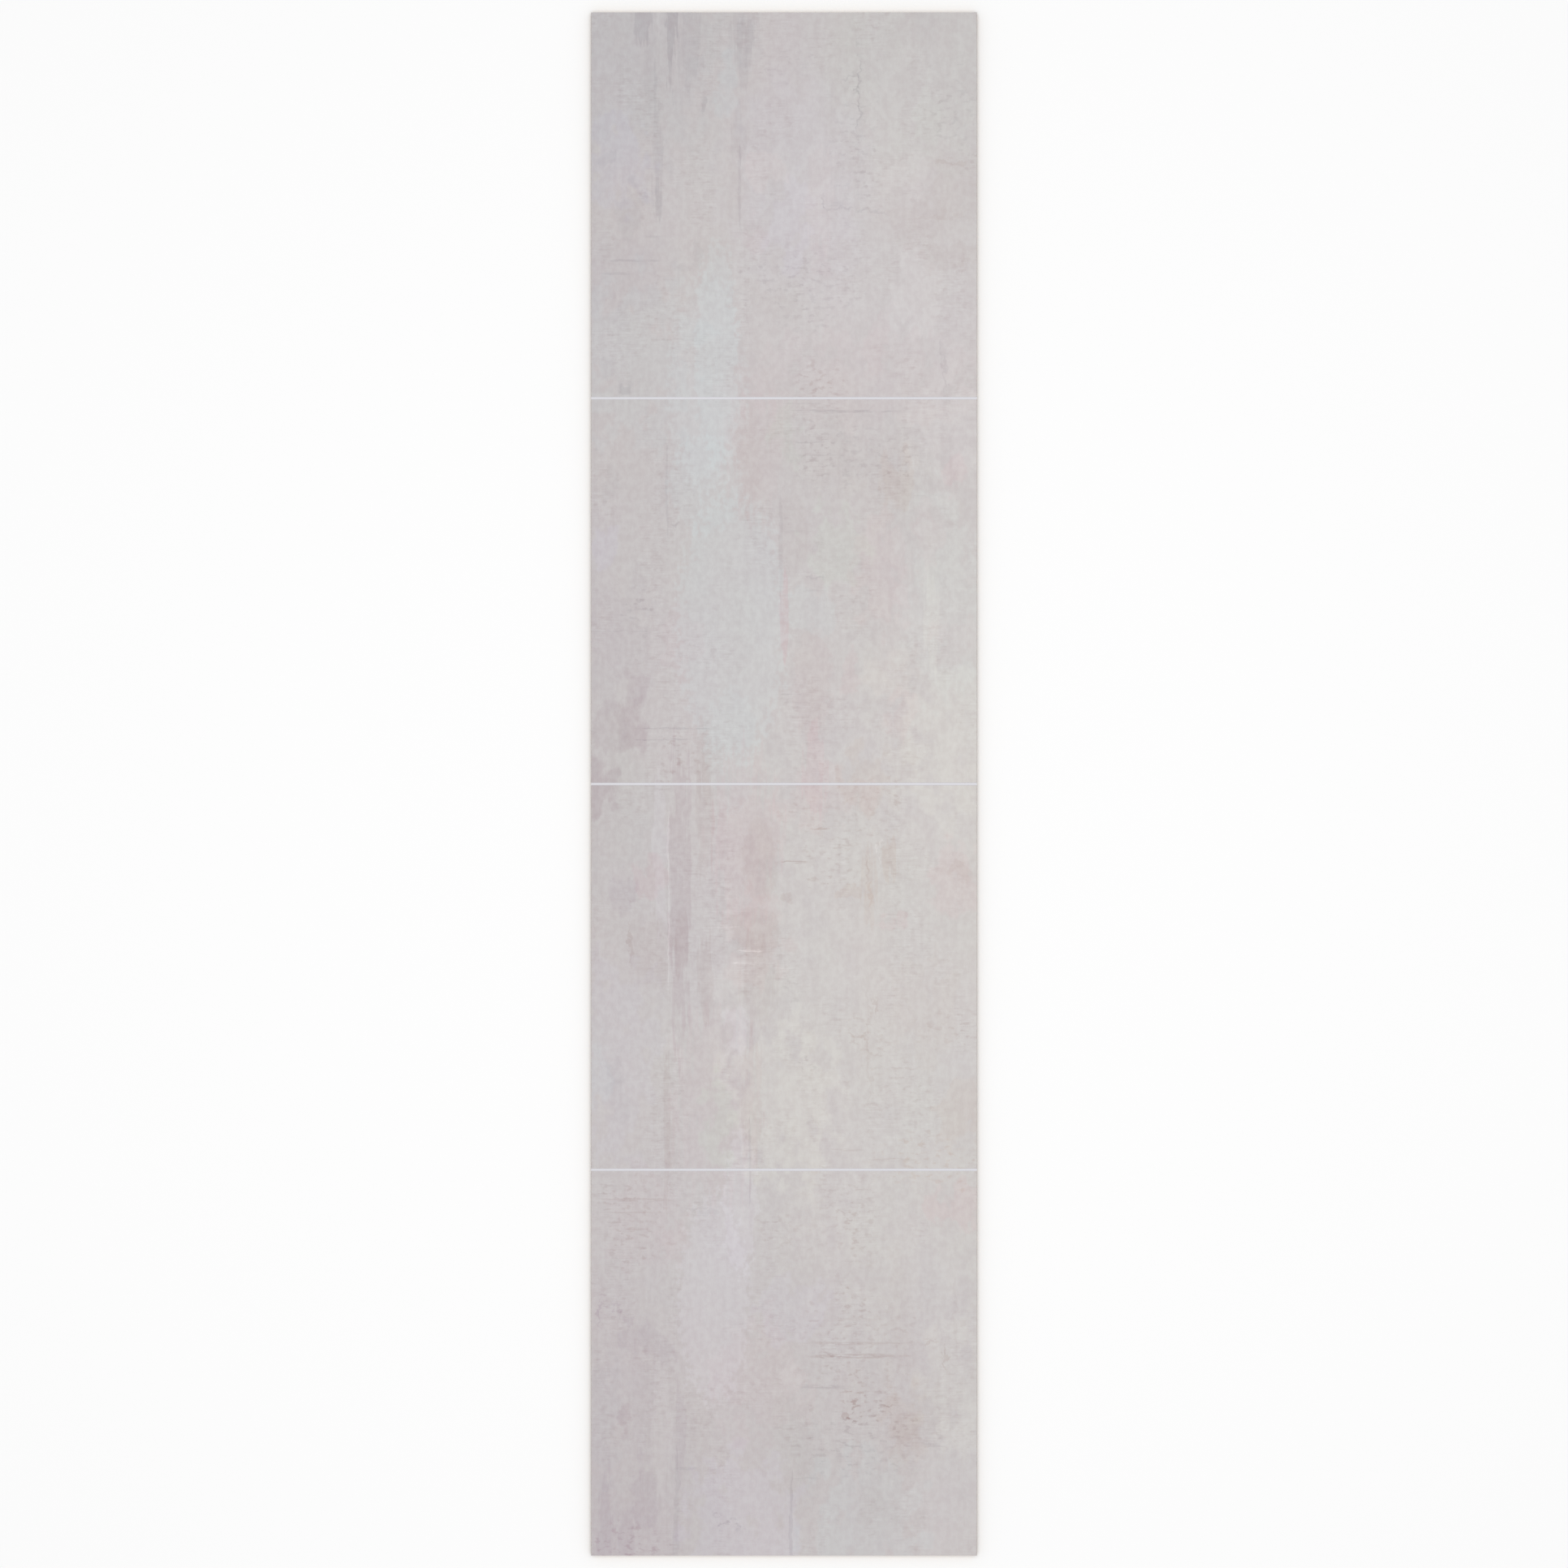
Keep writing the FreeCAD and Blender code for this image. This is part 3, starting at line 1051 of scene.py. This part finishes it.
@dataclass(frozen=True)
class GrooveLacquer:
    """White lacquer in the tile grooves, with a faint lilac cast.

    Attributes:
        levels: its colour in display levels.
        roughness: its roughness.
        side_room: how far past a groove's sides it is looked for, in millimetres.
        reach_down: how far below the face it is looked for, in millimetres.
        steepest: how much a surface may face left or right and still be a groove's.
    """

    levels: Number3 = (222.0, 221.0, 226.0)
    roughness: float = 0.4
    side_room: float = 0.1
    reach_down: float = 1.2
    steepest: float = 0.9


@dataclass(frozen=True)
class PlyStack:
    """Raw edge of the board: plies with crossed grain, glue lines and the two laminates.

    Attributes:
        pale: light wood, in display levels, as all these colours are.
        dark: its darker fibres.
        end_pale: light end grain.
        end_dark: darker end grain.
        glue: a glue line.
        kraft: the laminates' core.
        print_edge: cut edge of the printed sheet.
        backing: the back's sheet.
        print_sheet: thickness of the printed sheet in millimetres.
        back_sheet: thickness of the back's sheet in millimetres.
        fibre: size of a fibre across itself, along itself and up, in millimetres.
        glue_rim: where a glue line starts and is full, from the ply's middle, in plies.
        roughness: roughness of the edges and the back.
    """

    pale: Number3 = (222.0, 196.0, 158.0)
    dark: Number3 = (194.0, 160.0, 118.0)
    end_pale: Number3 = (188.0, 152.0, 110.0)
    end_dark: Number3 = (142.0, 106.0, 72.0)
    glue: Number3 = (112.0, 78.0, 52.0)
    kraft: Number3 = (132.0, 108.0, 92.0)
    print_edge: Number3 = (205.0, 200.0, 198.0)
    backing: Number3 = (168.0, 158.0, 146.0)
    print_sheet: float = 0.12
    back_sheet: float = 0.05
    fibre: Number3 = (1.2, 40.0, 0.5)
    glue_rim: Span = (0.44, 0.48)
    roughness: float = 0.75


@dataclass
class PanelFinish:
    """The board's one material, laid down in layers by height, as the real board is made.

    Attributes:
        board: the board's sizes.
        lacquer: finish of the grooves.
        plies: finish of the edges and the back.
        bump_strength: share of the print's relief that shows.
        bump_depth: depth of that relief in metres.
    """

    board: Board
    lacquer: GrooveLacquer = field(default_factory=GrooveLacquer)
    plies: PlyStack = field(default_factory=PlyStack)
    bump_strength: float = 0.25
    bump_depth: float = 0.0002

    def ply_colour(self, net: Wiring, point: Socket, height: Socket) -> Socket:
        """Colour of the raw core: plies alternate by height, with a glue line between them.

        Args:
            net: the wiring.
            point: places in millimetres.
            height: height above the back in millimetres.

        Returns:
            The colour.
        """
        grain = WoodGrain().build()
        plies = self.plies
        ply = (self.board.thickness - 2 * self.board.laminate) / self.board.ply_count
        narrow, long, high = plies.fibre
        along = net.group(
            grain,
            Point=point,
            Rate=(1 / narrow, 1 / long, 1 / high),
            Pale=paint(plies.pale),
            Dark=paint(plies.dark),
        )
        cross = net.group(
            grain,
            Point=point,
            Rate=(1 / long, 1 / narrow, 1 / high),
            Pale=paint(plies.end_pale),
            Dark=paint(plies.end_dark),
        )
        level = net.math("DIVIDE", net.math("SUBTRACT", height, self.board.laminate), ply)
        odd = net.math("GREATER_THAN", net.math("MODULO", level, 2.0), 1.0)
        wood = net.mix(odd, along.outputs["Color"], cross.outputs["Color"])
        from_middle = net.math("SUBTRACT", net.math("FRACT", level), 0.5)
        seam = net.math("ABSOLUTE", from_middle)
        return net.mix(net.rise(seam, *plies.glue_rim), wood, paint(plies.glue))

    def above(self, net: Wiring, height: Socket, limit: float) -> Socket:
        """Mask that is 1 where the height is above the limit and 0 below it."""
        return net.math("GREATER_THAN", height, limit)

    def groove_mask(
        self, net: Wiring, parts: bpy.types.Node, height: Socket, facing: bpy.types.Node
    ) -> Socket:
        """1 on the walls and floor of the tile grooves.

        The grooves lie at every tile pitch from the middle of the board, so the distance along
        the board is folded to one pitch. The two ends, which lie a whole number of pitches
        from the middle too, are left out, and so are the long edges, where the core shows.

        Args:
            net: the wiring.
            parts: node that splits the place into x, y and z.
            height: height above the back in millimetres.
            facing: node that splits the face's direction into x, y and z.

        Returns:
            The mask.
        """
        along = parts.outputs["Y"]
        folded = net.math("PINGPONG", along, self.board.tile_pitch / 2)
        near = net.math("LESS_THAN", folded, self.board.groove_half_width + self.lacquer.side_room)
        reach = self.board.half_length - self.board.tile_pitch / 2
        inside = net.math("LESS_THAN", net.math("ABSOLUTE", along), reach)
        below = net.math("LESS_THAN", height, self.board.thickness - HAIR)
        deep = self.above(net, height, self.board.thickness - self.lacquer.reach_down)
        sideways = net.math("ABSOLUTE", facing.outputs["X"])
        cut = net.math("MULTIPLY", net.math("LESS_THAN", sideways, self.lacquer.steepest), deep)
        spot = net.math("MULTIPLY", near, inside)
        return net.math("MULTIPLY", spot, net.math("MULTIPLY", below, cut))

    def build(self) -> bpy.types.Material:
        """Builds the material.

        Returns:
            The material.
        """
        material = bpy.data.materials.new(SLOT_NAME)
        material.use_nodes = True
        material.node_tree.nodes.clear()
        net = Wiring(material.node_tree)
        place = net.node("TexCoord")
        point = net.vector("MULTIPLY", place.outputs["Object"], (PER_MM,) * 3)
        parts = net.node("SeparateXYZ")
        net.feed(parts.inputs[0], point)
        height = parts.outputs["Z"]
        top = self.board.thickness
        decor = net.group(DecorPrint(self.board).build(), Point=point)
        core = self.ply_colour(net, point, height)
        plies = self.plies
        kraft = paint(plies.kraft)
        colour: Feed = paint(plies.backing)
        for bottom, layer in (
            (plies.back_sheet, kraft),
            (self.board.laminate, core),
            (top - self.board.laminate, kraft),
            (top - plies.print_sheet, paint(plies.print_edge)),
        ):
            colour = net.mix(self.above(net, height, bottom), colour, layer)
        facing = net.node("SeparateXYZ")
        net.feed(facing.inputs[0], place.outputs["Normal"])
        groove = self.groove_mask(net, parts, height, facing)
        colour = net.mix(groove, colour, paint(self.lacquer.levels))
        face = self.above(net, height, top - HAIR)
        colour = net.mix(face, colour, decor.outputs["Color"])
        smoother = net.math("MULTIPLY", groove, plies.roughness - self.lacquer.roughness)
        raw = net.math("SUBTRACT", plies.roughness, smoother)
        roughness = net.mix(face, raw, decor.outputs["Roughness"], MixKind.NUMBER)
        bump = net.node("Bump")
        bump.inputs["Strength"].default_value = self.bump_strength
        bump.inputs["Distance"].default_value = self.bump_depth
        net.feed(bump.inputs["Height"], net.math("MULTIPLY", decor.outputs["Height"], face))
        surface = net.node("BsdfPrincipled")
        net.feed(surface.inputs["Base Color"], colour)
        net.feed(surface.inputs["Roughness"], roughness)
        net.feed(surface.inputs["Normal"], bump.outputs[0])
        output = net.node("OutputMaterial")
        net.feed(output.inputs["Surface"], surface.outputs[0])
        LOG.info("%s: %d nodes in the print", SLOT_NAME, len(decor.node_tree.nodes))
        return material


@dataclass
class WallPanel:
    """The board itself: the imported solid, which keeps its shape and takes its finish here."""

    board: Board
    node: bpy.types.Object

    def dress(self) -> bpy.types.Object:
        """Gives the solid its material.

        Returns:
            The dressed object.
        """
        material = PanelFinish(self.board).build()
        for slot in self.node.material_slots:
            slot.link = "OBJECT"
            slot.material = material
        LOG.info("%s: %.0f by %.0f by %.0f mm", self.node.name, *self.sizes())
        return self.node

    def sizes(self) -> Number3:
        """Cover width, length and thickness in millimetres."""
        return self.board.cover_width, self.board.length, self.board.thickness


@dataclass(frozen=True)
class Studio:
    """Plain white floor, soft overhead light and the camera that looks straight down.

    Attributes:
        floor_size: side of the floor in metres.
        floor_drop: how far the floor lies under the board's back, in metres.
        floor_points: points along each side of the floor.
        floor_grey: the floor's base colour, the same in red, green and blue.
        floor_roughness: its roughness.
        floor_shine: its specular level.
        sky_strength: even light from all round.
        lamp_height: height of the softbox in metres.
        lamp_size: its side in metres.
        lamp_power: its power in watts.
        lens: the camera's focal length in millimetres.
        sensor: its sensor's side in millimetres.
        frame_height: height of the picture at the board's face in metres.
        view_depth: how far the camera sees, in metres.
    """

    floor_size: float = 60.0
    floor_drop: float = 0.0002
    floor_points: int = 9
    floor_grey: float = 0.93
    floor_roughness: float = 0.9
    floor_shine: float = 0.1
    sky_strength: float = 0.58
    lamp_height: float = 8.5
    lamp_size: float = 7.0
    lamp_power: float = 422.0
    lens: float = 100.0
    sensor: float = 36.0
    frame_height: float = 2.4385
    view_depth: float = 200.0

    def build_floor(self) -> bpy.types.Object:
        """Square floor as an even grid of points, all at one height.

        Returns:
            The floor.
        """
        count = self.floor_points
        line = np.linspace(-self.floor_size / 2, self.floor_size / 2, count)
        across, along = np.meshgrid(line, line)
        points = np.stack([across, along, np.full_like(across, -self.floor_drop)], axis=-1)
        corner = np.arange(count * count).reshape(count, count)
        faces = np.stack(
            [corner[:-1, :-1], corner[:-1, 1:], corner[1:, 1:], corner[1:, :-1]], axis=-1
        )
        mesh = bpy.data.meshes.new("floor")
        mesh.from_pydata(points.reshape(-1, 3).tolist(), [], faces.reshape(-1, 4).tolist())
        mesh.update()
        floor = bpy.data.objects.new("floor", mesh)
        bpy.context.scene.collection.objects.link(floor)
        mesh.materials.append(self.floor_finish())
        return floor

    def floor_finish(self) -> bpy.types.Material:
        """Matt white floor paint.

        Returns:
            The material.
        """
        material = bpy.data.materials.new("studio_floor")
        material.use_nodes = True
        surface = material.node_tree.nodes["Principled BSDF"]
        surface.inputs["Base Color"].default_value = (*(self.floor_grey,) * 3, 1.0)
        surface.inputs["Roughness"].default_value = self.floor_roughness
        surface.inputs["Specular IOR Level"].default_value = self.floor_shine
        return material

    def build_lights(self) -> None:
        """Even sky and one large softbox above the camera."""
        world = bpy.data.worlds.new("studio_sky")
        world.use_nodes = True
        sky = world.node_tree.nodes["Background"]
        sky.inputs["Color"].default_value = (1.0, 1.0, 1.0, 1.0)
        sky.inputs["Strength"].default_value = self.sky_strength
        bpy.context.scene.world = world
        lamp = bpy.data.lights.new("softbox", "AREA")
        lamp.shape = "SQUARE"
        lamp.size = self.lamp_size
        lamp.energy = self.lamp_power
        holder = bpy.data.objects.new("softbox", lamp)
        holder.location = (0.0, 0.0, self.lamp_height)
        bpy.context.scene.collection.objects.link(holder)

    def build_camera(self, face_height: float) -> bpy.types.Object:
        """Camera over the middle of the face, looking straight down with +Y up in the picture.

        Args:
            face_height: height of the board's face in metres.

        Returns:
            The camera.
        """
        camera = bpy.data.cameras.new("camera")
        camera.lens = self.lens
        camera.sensor_width = self.sensor
        camera.sensor_height = self.sensor
        distance = self.frame_height * self.lens / self.sensor
        camera.clip_end = self.view_depth
        holder = bpy.data.objects.new("camera", camera)
        holder.location = (0.0, 0.0, face_height + distance)
        bpy.context.scene.collection.objects.link(holder)
        bpy.context.scene.camera = holder
        return holder


def set_view() -> None:
    """Plain display of the colours, with no film curve."""
    view = bpy.context.scene.view_settings
    view.view_transform = "Standard"
    view.look = "None"
    view.exposure = 0.0
    view.gamma = 1.0


def main() -> None:
    """Loads the frame, dresses the board and sets up the studio."""
    logging.basicConfig(level=logging.INFO, format="%(name)s: %(message)s")
    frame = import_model()
    board = Board.from_frame()
    WallPanel(board, frame["nodes"][NODE_NAME]).dress()
    studio = Studio()
    studio.build_floor()
    studio.build_lights()
    studio.build_camera(board.thickness * MM)
    set_view()


if __name__ == "__main__":
    main()
